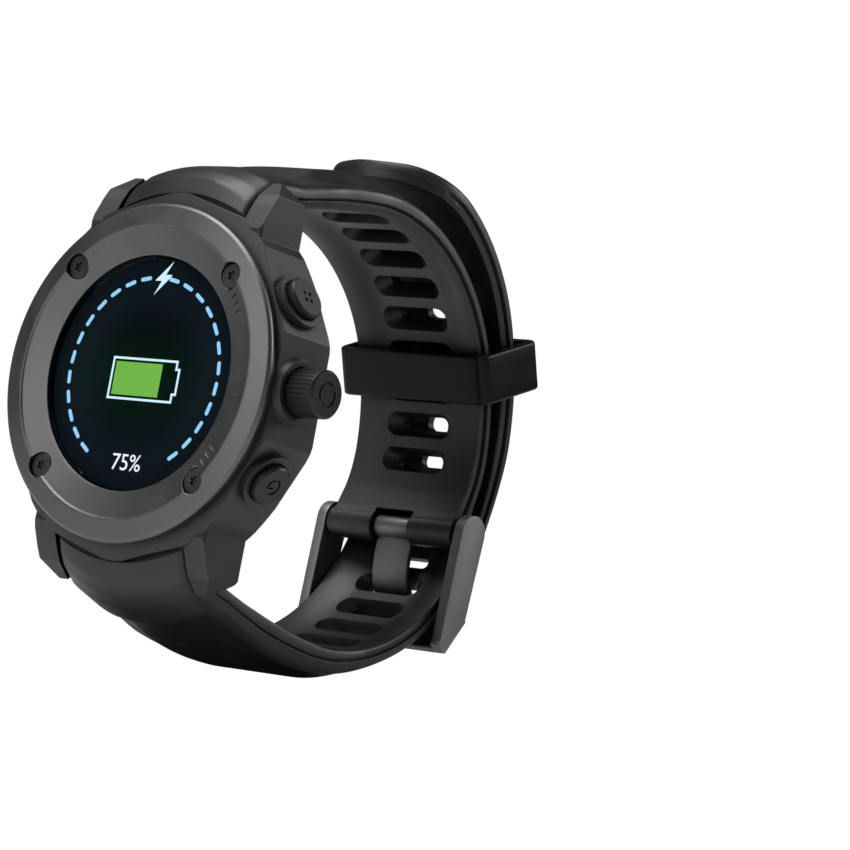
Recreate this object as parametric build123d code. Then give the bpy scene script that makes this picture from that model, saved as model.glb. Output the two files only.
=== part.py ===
# GPS running watch, closed on its strap as it would sit on a wrist.
# Frame, in millimetres: the origin is the centre of the flat back of the case. The display faces -Y,
# the 12 o'clock side of the case points to +Z, and the crown side to +X. The wrist is on the +Y side.
from build123d import *
import math
import os

os.makedirs("parts", exist_ok=True)

# ---------------------------------------------------------------- driving dimensions
GAP = 0.05                  # running clearance on every turning or sliding fit

# stack of the case along Y: 0 is the back plane, more negative is nearer the eye
RIDGE_Y = -13.25            # highest line of the bezel
RIM_Y = -12.4               # outer edge of the bezel
NECK_Y = -12.0              # front plane of the case, under the bezel rim
BEZEL_SEAT_Y = -11.4        # floor the bezel stands on
GLASS_BACK_Y = -10.9
SHELF_Y = -10.7             # shelf that holds the glass and its seal
CAVITY_FRONT_Y = -9.6
COVER_SEAT_Y = -1.5
CASE_BACK_Y = -0.4          # back edge of the case body, the cover stands proud of it
BUTTON_Y = -6.2             # line of the three side controls

BEZEL_R = 24.0
BEZEL_STEP_R = 22.0         # bezel body below its rim
RIDGE_R = 20.9
GLASS_R = 16.6
NECK_R = 23.6
SKIRT_R = 26.1              # round skirt of the case that meets the strap ends
CAVITY_R = 21.0
COVER_R = 22.2
CHANNEL_R = 23.3            # wall of the case between a pair of lugs

FLANK_X = 23.7              # flat side of the case, by the crown
FLANK_Z = 7.5               # half height of that flat side
CORNER_X = 17.0             # where the sloping flank meets the lug
CORNER_Z = 19.2
LUG_IN_X = 12.1
LUG_OUT_X = 15.9
LUG_CHAMFER = 2.2
LUG_END_Z = 29.1
SCREW_POCKET_R = 1.88
SCREW_POCKET_Y = -12.1      # pocket floor, so that the screw heads sit below the dish of the bezel
SCREW_HEAD_R = 1.7
SCREW_HEAD_DEPTH = 0.45
SCREW_SHANK_R = 0.72
LUG_TIP_CUT = 2.4           # corner taken off the outside of each lug tip

SCREW_R = 20.2              # pitch radius of the bezel screws
BACK_SCREW_R = 18.8
POST_R = 19.6               # pitch radius of the screw posts
POST_SIZE = 2.4
SCREW_ANGLES = (45, 135, 225, 315)

BUTTON_ANGLE = 30.0         # angle of the upper and lower button above and below the crown
BUTTON_FACE = 24.35         # distance of the sloping flank from the case axis
BUTTON_END = 26.5
BUTTON_R = 3.0
BUTTON_TRAVEL = 0.8
BUTTON_SWITCH_R = 17.5 - BUTTON_TRAVEL      # back of the switches, clear of the stems when these are pressed fully in
CROWN_SWITCH_R = 16.15 - BUTTON_TRAVEL
CROWN_END = 29.4
CROWN_R = 3.36

BAR_Y = -5.5                # spring bars in the lugs
BAR_Z = 25.3
BAR_R = 0.9
TIP_R = 0.5

STRAP_HALF = 12.0
STRAP_END_HALF = 11.85
RIB_HALF = 7.0
LEAST_BOW = 0.15            # bow of the strap's middle that never goes away
SLOT_HALF = 5.6
SLOT_HEIGHT = 3.8
SLOT_PITCH = 5.42
TONGUE_SLOT = 53.1          # arc length of the slot that the buckle tongue is in

PIN_Y = 51.2                # buckle pin
PIN_Z = -10.5
PIN_R = 0.75
BARREL_R = 2.45
NOTCH_HALF = 3.6
KNUCKLE_HALF = 3.3
KNUCKLE_R = 1.7
ARM_IN_X = 12.4
ARM_OUT_X = 14.0

KEEPER_PIVOT_Y = 26.0       # centre of the curve that the keeper slides round
KEEPER_PIVOT_Z = 2.9
KEEPER_ANGLE = 23.2
KEEPER_IN_R = 23.7
KEEPER_OUT_R = 38.0
KEEPER_WALL = 1.3
KEEPER_HALF_X = 14.1
KEEPER_HALF_LENGTH = 3.75


# ---------------------------------------------------------------- helpers
def save(shape, name):
    export_step(shape, "parts/" + name + ".step")


def group(shapes):
    return Compound(children=list(shapes))


def disc(radius, front, back, x=0.0, z=0.0):
    """Cylinder along Y from front to back."""
    plane = Plane(origin=(x, front, z), x_dir=(1, 0, 0), z_dir=(0, 1, 0))
    return plane.location * Cylinder(radius, back - front, align=(Align.CENTER, Align.CENTER, Align.MIN))


def ring(outer, inner, front, back, x=0.0, z=0.0):
    return disc(outer, front, back, x, z) - disc(inner, front - 1, back + 1, x, z)


def slab(x_range, y_range, z_range):
    """Box between two opposite corners."""
    size = [high - low for low, high in (x_range, y_range, z_range)]
    middle = [(high + low) / 2 for low, high in (x_range, y_range, z_range)]
    return Pos(*middle) * Box(*size)


def turned(outline):
    """Solid of revolution about Y from (radius, y) points."""
    face = make_face(Polyline(*[(radius, y, 0) for radius, y in outline], close=True))
    return revolve(face, Axis.Y, 360)


def side_outline(points, low_x, high_x):
    """Prism along X from (y, z) points."""
    face = make_face(Polyline(*[(low_x, y, z) for y, z in points], close=True))
    return extrude(face, amount=high_x - low_x, dir=(1, 0, 0))


def bar(radius, low_x, high_x, y, z):
    """Round bar along X."""
    plane = Plane(origin=(low_x, y, z), x_dir=(0, 1, 0), z_dir=(1, 0, 0))
    return plane.location * Cylinder(radius, high_x - low_x, align=(Align.CENTER, Align.CENTER, Align.MIN))


def on_circle(radius, angle):
    return radius * math.cos(math.radians(angle)), radius * math.sin(math.radians(angle))


def outward(angle, y=BUTTON_Y):
    """Frame at the case axis whose local Z points out through the flank and local X to the back."""
    x, z = on_circle(1.0, angle)
    return Plane(origin=(0, y, 0), x_dir=(0, 1, 0), z_dir=(x, 0, z)).location


def spindle(radius, start, end):
    """Cylinder along local Z, to be placed with outward()."""
    return Pos(0, 0, start) * Cylinder(radius, end - start, align=(Align.CENTER, Align.CENTER, Align.MIN))


def coil(radius, wire, start, end, turns):
    """Compression spring along local Z that fills the space from start to end."""
    height = end - start - 2 * wire
    path = Helix(pitch=height / turns, height=height, radius=radius, center=(0, 0, start + wire))
    section = Plane(origin=path @ 0, z_dir=path % 0) * Circle(wire)
    return sweep(section, path=path)


def smooth(value):
    """Eased step from 0 to 1."""
    value = min(1.0, max(0.0, value))
    return value * value * (3 - 2 * value)


# ---------------------------------------------------------------- strap curves
class Curve:
    """Side view of one strap's wrist face: a start point and heading, then stretches of constant bend."""

    STEP = 0.1

    def __init__(self, start, heading, stretches, out_side):
        self.out_side = out_side
        self.places = []
        (y, z), turn = start, heading
        for length, bend in stretches:
            for _ in range(round(length / self.STEP)):
                self.places.append((y, z, turn))
                middle = math.radians(turn + bend * self.STEP / 2)
                y += self.STEP * math.cos(middle)
                z += self.STEP * math.sin(middle)
                turn += bend * self.STEP
        self.places.append((y, z, turn))
        self.length = (len(self.places) - 1) * self.STEP

    def heading(self, s):
        return self.places[round(s / self.STEP)][2]

    def point(self, s, away=0.0):
        """Point at arc length s, moved away from the wrist."""
        y, z, turn = self.places[round(s / self.STEP)]
        turn = math.radians(turn)
        return y - self.out_side * away * math.sin(turn), z + self.out_side * away * math.cos(turn)


UPPER = Curve((3.02, 27.45), 14.5, [(16, -0.39), (14, -1.87), (24, -2.09), (12, -1.58), (7, -3.0)], 1)
LOWER = Curve((2.56, -27.37), -17.2, [(20, 0.5), (40, 1.89), (34, 1.36), (33, 1.86)], -1)


def upper_hollow(s):
    """How far the middle of the upper strap bows out from its edges."""
    return LEAST_BOW + 1.5 * smooth((66 - s) / 32) * min(1.0, 0.2 + s / 8)


def upper_edge(s):
    return 3.1 + 0.5 * smooth(s / 12) - 0.6 * smooth((s - 20) / 25)


def upper_middle(s):
    return 4.2 - 1.2 * smooth((s - 12) / 34)


def lower_hollow(s):
    return LEAST_BOW + 0.7 * smooth((120 - s) / 30) * min(1.0, 0.2 + s / 8)


def lower_edge(s):
    return 3.6 + 1.0 * smooth(s / 10) - 2.1 * smooth((s - 12) / 26) + 0.6 * smooth((s - 66) / 12)


def lower_middle(s):
    return 4.9 - 2.4 * smooth((s - 10) / 30) + 0.6 * smooth((s - 66) / 12)


def strip(curve, low_x, high_x, inner, outer, root):
    """Band of strap between two offsets of its curve, closed at the case end by the root outline."""
    steps = 40
    stations = [curve.length * i / steps for i in range(steps + 1)]
    wrist_edge = Spline(*[(low_x, *curve.point(s, inner(s))) for s in stations])
    away_edge = Spline(*[(low_x, *curve.point(s, outer(s))) for s in stations])
    tip = Line(wrist_edge @ 1, away_edge @ 1)
    end = Polyline(away_edge @ 0, *[(low_x, y, z) for y, z in root], wrist_edge @ 0)
    face = make_face([wrist_edge, tip, away_edge, end])
    return extrude(face, amount=high_x - low_x, dir=(1, 0, 0))


def banded(curve, hollow, edge, middle, edge_root, rib_root):
    """Strap blank: a raised middle rib between two thinner edge bands."""
    body = strip(curve, -RIB_HALF, RIB_HALF, hollow, lambda s: hollow(s) + middle(s), rib_root)
    body += strip(curve, -STRAP_HALF, -RIB_HALF, lambda s: 0.0, edge, edge_root)
    body += strip(curve, RIB_HALF, STRAP_HALF, lambda s: 0.0, edge, edge_root)
    return body


def slot_cutter(curve, s, hollow):
    """Round-ended slot through the strap at arc length s."""
    y, z = curve.point(s, hollow(s))
    turn = math.radians(curve.heading(s))
    plane = Plane(origin=(0, y, z), x_dir=(1, 0, 0), z_dir=(0, -math.sin(turn), math.cos(turn)))
    shape = RectangleRounded(2 * SLOT_HALF, SLOT_HEIGHT, 1.2)
    return extrude(plane * shape, amount=8, both=True)


def slot_places(curve, hollow, fixed, before, after):
    """Arc lengths of slots that are one pitch apart along the middle of the strap."""
    places = [fixed]
    for count, direction in ((before, -1), (after, 1)):
        s = fixed
        for _ in range(count):
            start = curve.point(s, hollow(s))
            while math.dist(start, curve.point(s, hollow(s))) < SLOT_PITCH:
                s += direction * Curve.STEP
            places.append(s)
    return sorted(places)


# ---------------------------------------------------------------- bezel and display
def bezel_ring():
    outline = [(GLASS_R + 0.12, BEZEL_SEAT_Y), (BEZEL_STEP_R, BEZEL_SEAT_Y), (BEZEL_STEP_R, NECK_Y),
               (BEZEL_R, NECK_Y), (BEZEL_R, RIM_Y), (BEZEL_R - 0.35, RIM_Y - 0.35),
               (RIDGE_R + 0.15, RIDGE_Y), (RIDGE_R - 0.15, RIDGE_Y), (RIDGE_R - 0.35, RIDGE_Y + 0.25),
               (GLASS_R + 0.5, NECK_Y - 0.22), (GLASS_R + 0.12, NECK_Y - 0.1)]
    body = turned(outline)
    for angle in SCREW_ANGLES:
        x, z = on_circle(SCREW_R, angle)
        body -= disc(SCREW_POCKET_R, -14.5, SCREW_POCKET_Y, x, z)
        body -= disc(0.95, -13.0, -11.0, x, z)
    for middle in (35, 0, -35):
        for step in (-1.5, -0.5, 0.5, 1.5):
            x, z = on_circle(19.1, middle + 3.6 * step)
            mark = Pos(x, -12.75, z) * Rot(0, -(middle + 3.6 * step), 0) * Box(1.3, 0.7, 0.42)
            body -= mark
    return body


def bezel_screws():
    screws = []
    for angle in SCREW_ANGLES:
        x, z = on_circle(SCREW_R, angle)
        head = disc(SCREW_HEAD_R, SCREW_POCKET_Y - SCREW_HEAD_DEPTH, SCREW_POCKET_Y, x, z)
        shank = disc(SCREW_SHANK_R, SCREW_POCKET_Y, -8.0, x, z)
        socket = disc(0.5, SCREW_POCKET_Y - 0.7, SCREW_POCKET_Y - 0.1, x, z)
        for lobe in range(5):
            lobe_x, lobe_z = on_circle(0.55, 72 * lobe)
            socket += disc(0.24, SCREW_POCKET_Y - 0.7, SCREW_POCKET_Y - 0.1, x + lobe_x, z + lobe_z)
        screws.append(head + shank - socket)
    return group(screws)


def cover_glass():
    return turned([(0, GLASS_BACK_Y), (GLASS_R, GLASS_BACK_Y), (GLASS_R, NECK_Y + 0.2),
                   (GLASS_R - 0.2, NECK_Y), (0, NECK_Y)])


# ---------------------------------------------------------------- case body
def flank_outline():
    return [(FLANK_X, -FLANK_Z), (FLANK_X, FLANK_Z), (CORNER_X, CORNER_Z), (LUG_OUT_X - 2, 22.5),
            (0, 26.5), (-LUG_OUT_X + 2, 22.5), (-CORNER_X, CORNER_Z), (-FLANK_X, FLANK_Z),
            (-FLANK_X, -FLANK_Z), (-CORNER_X, -CORNER_Z), (-LUG_OUT_X + 2, -22.5), (0, -26.5),
            (LUG_OUT_X - 2, -22.5), (CORNER_X, -CORNER_Z)]


def lug(side, end):
    outline = [(-9.6, 17.0), (-10.3, 21.6), (-8.6, 25.2), (-7.6, 26.9), (-5.2, 29.1), (-3.1, 27.7),
               (-1.6, 26.2), (-1.5, 17.0)]
    low, high = sorted((side * LUG_IN_X, side * LUG_OUT_X))
    body = side_outline([(y, end * z) for y, z in outline], low, high)
    outer = side * LUG_OUT_X
    corner = Polyline((outer + side, -14.5, 0), (outer - side * LUG_CHAMFER, -14.5, 0),
                      (outer + side, -5.5 - LUG_CHAMFER, 0), close=True)
    wedge = extrude(make_face(corner), amount=40, dir=(0, 0, 1), both=True)
    beyond = (outer + side, -14.5, end * (LUG_END_Z + 1.9))
    cut_start = (outer + side, -14.5, end * (LUG_END_Z - LUG_TIP_CUT - 1))
    cut_end = (outer - side * LUG_TIP_CUT, -14.5, end * (LUG_END_Z + 0.2))
    tip = Polyline(cut_start, beyond, cut_end, close=True)
    return body - wedge - extrude(make_face(tip), amount=16, dir=(0, 1, 0))


def mid_case():
    face = make_face(Polyline(*[(x, -11.5, z) for x, z in flank_outline()], close=True))
    block = extrude(face, amount=11.5 + CASE_BACK_Y, dir=(0, 1, 0))
    envelope = turned([(0, -11.5), (NECK_R - 0.2, -11.5), (NECK_R - 0.2, -10.95), (SKIRT_R, -10.1),
                       (SKIRT_R, -1.6), (SKIRT_R - 1.5, CASE_BACK_Y), (0, CASE_BACK_Y)])
    body = block & envelope
    for end in (1, -1):
        z_range = sorted((end * 15.0, end * 30.0))
        channel = slab((-LUG_IN_X, LUG_IN_X), (-9.3, 1.0), z_range) - disc(CHANNEL_R, -9.5, 1.5)
        body -= channel
        for side in (1, -1):
            body += lug(side, end)
    body += disc(NECK_R, -11.6, -10.7)
    body += disc(NECK_R, NECK_Y, -11.5)
    body -= disc(BEZEL_STEP_R + GAP, NECK_Y - 1, BEZEL_SEAT_Y)
    body -= disc(GLASS_R + 0.15, NECK_Y - 1, SHELF_Y)
    body -= disc(15.0, SHELF_Y - 1, CAVITY_FRONT_Y + 1)
    body -= disc(CAVITY_R, CAVITY_FRONT_Y, 1)
    body -= disc(COVER_R + 0.1, COVER_SEAT_Y, 1)
    for angle in SCREW_ANGLES:
        body += disc(POST_SIZE, CAVITY_FRONT_Y, COVER_SEAT_Y, *on_circle(POST_R, angle)) & disc(
            NECK_R - 1, CAVITY_FRONT_Y, COVER_SEAT_Y)
        body -= disc(0.75, NECK_Y, -7.6, *on_circle(SCREW_R, angle))
        body -= disc(0.75, -4.6, 0, *on_circle(BACK_SCREW_R, angle))
    for angle in (BUTTON_ANGLE, -BUTTON_ANGLE):
        place = outward(angle)
        body += place * (spindle(4.0, BUTTON_FACE - 2.0, BUTTON_FACE + 1.0))
        body -= place * spindle(BUTTON_R + 0.12, 23.2, BUTTON_END)
        body -= place * spindle(1.0 + GAP, 19.0, 24.0)
        body -= place * spindle(1.62, 21.7, 22.5)
    place = outward(0)
    boss = Pos(0, 0, FLANK_X - 1) * Cone(5.2, 4.3, 2.0, align=(Align.CENTER, Align.CENTER, Align.MIN))
    body += place * boss
    body -= place * spindle(CROWN_R + 0.15, 23.2, CROWN_END)
    body -= place * spindle(1.5 + GAP, 19.0, 24.0)
    body -= place * spindle(2.1, 21.7, 22.5)
    for end in (1, -1):
        body -= bar(TIP_R + GAP, -14.2, 14.2, BAR_Y, end * BAR_Z)
    return body


# ---------------------------------------------------------------- inside the case
def main_board():
    board = disc(19.6, -8.0, -7.2)
    for angle in SCREW_ANGLES:
        board -= disc(POST_SIZE + 0.4, -9, -6, *on_circle(POST_R, angle))
    return board - slab((12.8, 20.0), (-9, -6), (-12.0, 12.0))


def display_frame():
    frame = ring(20.4, 15.2, -9.5, -8.6) + disc(15.3, -9.2, -8.6)
    for angle in SCREW_ANGLES:
        frame -= disc(POST_SIZE + 0.4, -10, -8, *on_circle(POST_R, angle))
    return frame - slab((-3.2, 3.2), (-10, -8), (-14.9, -13.4))


def battery_cell():
    body = slab((-12.5, 10.5), (-6.9, -2.9), (-12.5, 12.5))
    body = fillet(body.edges().filter_by(Axis.Y), 2.0)
    return body


def gps_antenna():
    return slab((-5.5, 5.5), (-7.1, -3.4), (13.6, 18.4)) - slab((-4.2, 4.2), (-3.6, -3.0), (14.4, 17.6))


def case_back():
    plate = turned([(0, COVER_SEAT_Y), (COVER_R, COVER_SEAT_Y), (COVER_R, -0.35), (COVER_R - 0.35, 0),
                    (0, 0)])
    plate += ring(CAVITY_R - 0.3, 19.6, -2.3, COVER_SEAT_Y + 0.2)
    plate -= ring(21.85, 21.1, COVER_SEAT_Y - 1, COVER_SEAT_Y + 0.5)
    plate -= disc(8.2, -3.0, 1.0)
    for angle in SCREW_ANGLES:
        x, z = on_circle(BACK_SCREW_R, angle)
        plate -= disc(POST_SIZE + 0.3, -3.0, COVER_SEAT_Y, *on_circle(POST_R, angle))
        plate -= disc(0.95, -2.0, 1.0, x, z)
        plate -= disc(1.75, -0.65, 1.0, x, z)
    for place in range(4):
        plate -= disc(0.85, -3.0, 1.0, 2.8 * (place - 1.5), 13.5)
    return plate


def case_back_screws():
    screws = []
    for angle in SCREW_ANGLES:
        x, z = on_circle(BACK_SCREW_R, angle)
        head = disc(1.6, -0.65, -0.1, x, z)
        cross = slab((x - 0.9, x + 0.9), (-0.4, 0.1), (z - 0.2, z + 0.2))
        cross += slab((x - 0.2, x + 0.2), (-0.4, 0.1), (z - 0.9, z + 0.9))
        screws.append(head + disc(0.72, -4.2, -0.65, x, z) - cross)
    return group(screws)


def sensor_window():
    sphere_r = 28.0
    dome = Pos(0, 1.2 - sphere_r, 0) * Sphere(sphere_r)
    return disc(8.15, -0.9, 1.3) & dome


def sensor_parts():
    diode = slab((-1.2, 1.2), (-1.7, -1.0), (-1.2, 1.2))
    leds = [slab((side * 3.4 - 0.7, side * 3.4 + 0.7), (-1.7, -1.0), (-0.7, 0.7)) for side in (-1, 1)]
    return group([diode] + leds)


def side_switches():
    """Three small push switches that the side controls act on."""
    switches = []
    for angle in (BUTTON_ANGLE, 0, -BUTTON_ANGLE):
        inner = CROWN_SWITCH_R if angle == 0 else BUTTON_SWITCH_R
        size = Pos(0, 0, inner + 0.8) * Box(2.4, 3.4, 1.6)
        switches.append(outward(angle) * (size + spindle(0.7, inner + 1.6, inner + 1.75)))
    return group(switches)


def switch_bracket():
    """Sheet bracket behind the switches, bent to follow the cavity."""
    outer_points = []
    reaches = ((-BUTTON_ANGLE, BUTTON_SWITCH_R), (0, CROWN_SWITCH_R), (BUTTON_ANGLE, BUTTON_SWITCH_R))
    for angle, reach in reaches:
        x, z = on_circle(reach, angle)
        tangent_x, tangent_z = on_circle(2.0, angle + 90)
        outer_points += [(x - tangent_x, z - tangent_z), (x + tangent_x, z + tangent_z)]
    scale = 0.975
    inner_points = [(x * scale, z * scale) for x, z in reversed(outer_points)]
    face = make_face(Polyline(*[(x, -7.1, z) for x, z in outer_points + inner_points], close=True))
    return extrude(face, amount=2.6, dir=(0, 1, 0))


# ---------------------------------------------------------------- side controls
def push_button(angle):
    cap = spindle(BUTTON_R, 24.15, BUTTON_END)
    cap = chamfer(cap.edges().group_by(Axis.Z)[-1], 0.25)
    cap -= spindle(2.35, 24.0, 25.6) - spindle(1.35, 24.0, 25.6)
    cap += spindle(1.0, 19.35, 24.3)
    cap -= spindle(1.2, 20.36, 20.84) - spindle(0.72, 20.36, 20.84)
    icon = []
    if angle > 0:
        for x in (-0.55, 0.55):
            for y in (-0.55, 0.55):
                icon.append(Pos(x, y, BUTTON_END) * Box(0.55, 0.55, 0.4))
    else:
        arc = spindle(1.25, BUTTON_END - 0.2, BUTTON_END + 1) - spindle(0.9, BUTTON_END - 1, BUTTON_END + 1)
        icon.append(arc - Pos(-1.5, -1.5, BUTTON_END) * Box(3, 3, 4))
        icon.append(Pos(-0.6, -0.2, BUTTON_END) * Box(1.3, 0.35, 0.4))
    for mark in icon:
        cap -= mark
    return outward(angle) * cap


def retaining_clip(angle, inner, outer):
    clip = spindle(outer, 20.4, 20.8) - spindle(inner, 20.0, 21.5)
    clip -= Pos(outer, 0, 20.6) * Box(2 * outer, 1.1 * inner, 1)
    return outward(angle) * clip


def button_seal(angle, major, minor):
    return outward(angle) * (Pos(0, 0, 22.1) * Torus(major, minor))


def crown_knob():
    knob = spindle(CROWN_R, 24.2, CROWN_END)
    knob = chamfer(knob.edges().group_by(Axis.Z)[-1], 0.3)
    for count in range(32):
        x, y = on_circle(CROWN_R + 0.08, 360 / 32 * count)
        knob -= Pos(x, y, 0) * spindle(0.2, 24.0, CROWN_END - 0.55)
    knob -= spindle(2.9, 24.0, 26.3) - spindle(1.2, 24.0, 26.3)
    knob += spindle(0.8, 18.6, 24.5)
    groove = spindle(1.75, CROWN_END - 0.2, CROWN_END + 1) - spindle(1.4, CROWN_END - 1, CROWN_END + 1)
    groove -= Pos(1.4, 1.4, CROWN_END) * Rot(0, 0, 45) * Box(1.0, 1.0, 2)
    groove -= Pos(-1.4, -1.4, CROWN_END) * Rot(0, 0, 45) * Box(1.0, 1.0, 2)
    return outward(0) * (knob - groove)


def crown_sleeve():
    sleeve = spindle(1.5, 19.4, 23.15) - spindle(0.8 + GAP, 19.0, 24.5)
    sleeve -= spindle(1.7, 20.36, 20.84) - spindle(1.22, 20.36, 20.84)
    return outward(0) * sleeve


# ---------------------------------------------------------------- strap
def upper_strap():
    root = [(-1.7, 32.2), (-5.5, 31.0), (-9.2, 28.6), (-9.75, 26.2), (-9.75, 20.0), (-1.7, 20.0),
            (-1.7, 26.3)]
    edge_root = [(-5.2, 28.9), (-7.6, 26.8), (-8.6, 25.1), (-9.75, 22.2), (-9.75, 20.0), (-1.7, 20.0),
                 (-1.7, 26.3)]
    body = banded(UPPER, upper_hollow, upper_edge, upper_middle, edge_root, root)
    body = finish_case_end(body, 1)
    tail = UPPER.point(UPPER.length)
    tail_out = UPPER.point(UPPER.length, upper_edge(UPPER.length))
    body += side_outline([UPPER.point(UPPER.length - 1, 0.2), tail, (PIN_Y - BARREL_R, PIN_Z),
                          (PIN_Y, PIN_Z), (PIN_Y + BARREL_R * 0.9, PIN_Z + 1), tail_out,
                          UPPER.point(UPPER.length - 1, 2.8)], -STRAP_HALF, STRAP_HALF)
    body += bar(BARREL_R, -STRAP_HALF, STRAP_HALF, PIN_Y, PIN_Z)
    body -= slab((-NOTCH_HALF, NOTCH_HALF), (PIN_Y - 5, PIN_Y + 5), (PIN_Z - 4, PIN_Z + 3.0))
    body -= bar(PIN_R + GAP, -20, 20, PIN_Y, PIN_Z)
    for s in slot_places(UPPER, upper_hollow, 46.3, 4, 4):
        body -= slot_cutter(UPPER, s, upper_hollow)
    return body


def lower_strap():
    root = [(-1.7, -33.6), (-5.5, -32.0), (-9.2, -28.8), (-9.75, -26.2), (-9.75, -20.0), (-1.7, -20.0),
            (-1.7, -26.3)]
    edge_root = [(-5.2, -28.9), (-7.6, -26.8), (-8.6, -25.1), (-9.75, -22.2), (-9.75, -20.0),
                 (-1.7, -20.0), (-1.7, -26.3)]
    end = LOWER.length
    body = banded(LOWER, lower_hollow, lower_edge, lower_middle, edge_root, root)
    body = finish_case_end(body, -1)
    y, z = LOWER.point(end)
    turn = math.radians(LOWER.heading(end))
    plane = Plane(origin=(0, y, z), x_dir=(1, 0, 0), z_dir=(0, -math.sin(turn), math.cos(turn)))
    outline = Pos(0, -STRAP_HALF) * Rectangle(40, 24) - Pos(0, -STRAP_HALF) * Circle(STRAP_HALF)
    outline -= Pos(0, -STRAP_HALF - 8) * Rectangle(60, 16)
    body -= extrude(plane * outline, amount=9, both=True)
    for s in slot_places(LOWER, lower_hollow, TONGUE_SLOT, 4, 9):
        body -= slot_cutter(LOWER, s, lower_hollow)
    return body


def finish_case_end(body, end):
    """Shape the end that sits between the lugs, and bore it for the spring bar."""
    for side in (1, -1):
        low, high = sorted((side * STRAP_END_HALF, side * 20))
        z_low, z_high = sorted((end * 10, end * 29.6))
        body -= slab((low, high), (-12, -0.9), (z_low, z_high))
    body -= disc(CHANNEL_R + 0.35, -11, 0.5)
    body -= disc(SKIRT_R + 0.25, -12, -9.15)
    body -= bar(BAR_R + GAP, -20, 20, BAR_Y, end * BAR_Z)
    return body


def spring_bar_tube(end):
    return bar(BAR_R, -11.6, 11.6, BAR_Y, end * BAR_Z) - bar(TIP_R + GAP, -20, 20, BAR_Y, end * BAR_Z)


def spring_bar_tip(side, end):
    low, high = sorted((side * 8.6, side * 13.8))
    tip = bar(TIP_R, low, high, BAR_Y, end * BAR_Z)
    return tip


def spring_bar_spring(end):
    place = Plane(origin=(0, BAR_Y, end * BAR_Z), x_dir=(0, 1, 0), z_dir=(1, 0, 0)).location
    return place * coil(0.36, 0.1, -8.55, 8.55, 10)


# ---------------------------------------------------------------- buckle and keeper
def from_pin(points):
    return [(PIN_Y + y, PIN_Z + z) for y, z in points]


BAR_TOP = (2.65, -12.5)     # outer face of the crossbar, from its upper to its lower edge
BAR_LOW = (-1.4, -18.3)
BAR_DEPTH = 1.25


def crossbar_inner(point):
    length = math.dist(BAR_TOP, BAR_LOW)
    along_y = (BAR_LOW[0] - BAR_TOP[0]) / length
    along_z = (BAR_LOW[1] - BAR_TOP[1]) / length
    return point[0] + BAR_DEPTH * along_z, point[1] - BAR_DEPTH * along_y


def buckle_frame():
    arm = from_pin([(-2.2, 0.2), (-3.3, -16.9), BAR_LOW, BAR_TOP, (2.0, -11.2), (3.35, 0.2)])
    body = None
    for side in (1, -1):
        low, high = sorted((side * ARM_IN_X, side * ARM_OUT_X))
        piece = side_outline(arm, low, high) + bar(2.8, low, high, PIN_Y + 0.6, PIN_Z + 0.2)
        piece -= bar(PIN_R, -20, 20, PIN_Y, PIN_Z)
        body = piece if body is None else body + piece
    plate = from_pin([BAR_TOP, BAR_LOW, crossbar_inner(BAR_LOW), crossbar_inner(BAR_TOP)])
    body += side_outline(plate, -ARM_OUT_X, ARM_OUT_X)
    seat = [(y + 0.45, z - 0.3) for y, z in from_pin([BAR_TOP, BAR_LOW])]
    seat_in = [(y - 0.5, z + 0.36) for y, z in from_pin([BAR_LOW, BAR_TOP])]
    return body - side_outline(seat + seat_in, -NOTCH_HALF, NOTCH_HALF)


def buckle_tongue():
    """Tongue from the pin through its slot in the lower strap and over the crossbar."""
    slot = LOWER.point(TONGUE_SLOT, lower_hollow(TONGUE_SLOT))
    along_y, along_z = on_circle(1.0, LOWER.heading(TONGUE_SLOT))

    def from_slot(along, away):
        return slot[0] + along * along_y + away * along_z, slot[1] + along * along_z - away * along_y

    wrist_side = [(2.95, -2.95), (0.3, -0.3), (-0.75, 2.1), (-1.6, 3.7), (-6.0, 3.7)]
    away_side = [(-5.7, 4.8), (-1.1, 4.8), (0.45, 2.5), (1.25, 0.3), (4.0, -2.4)]
    outline = [from_slot(*point) for point in wrist_side + away_side]
    outline += from_pin([(1.3, -0.8), (-0.2, -1.3)])
    body = side_outline(outline, -KNUCKLE_HALF, KNUCKLE_HALF)
    body += bar(KNUCKLE_R, -KNUCKLE_HALF, KNUCKLE_HALF, PIN_Y, PIN_Z)
    return body - bar(PIN_R + GAP, -20, 20, PIN_Y, PIN_Z)


def strap_keeper():
    middle = (KEEPER_IN_R + KEEPER_OUT_R) / 2
    depth = KEEPER_OUT_R - KEEPER_IN_R
    outer = Box(2 * KEEPER_HALF_X, depth, 2 * KEEPER_HALF_LENGTH)
    outer = fillet(outer.edges().filter_by(Axis.Z), 1.0)
    outer = fillet(outer.faces().sort_by(Axis.Z)[-1].edges(), 0.4)
    outer = fillet(outer.faces().sort_by(Axis.Z)[0].edges(), 0.4)
    hole = Box(2 * (KEEPER_HALF_X - KEEPER_WALL), depth - 2 * KEEPER_WALL, 20)
    band = Pos(0, middle, 0) * (outer - hole)
    return Pos(0, KEEPER_PIVOT_Y, KEEPER_PIVOT_Z) * Rot(KEEPER_ANGLE, 0, 0) * band


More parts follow.
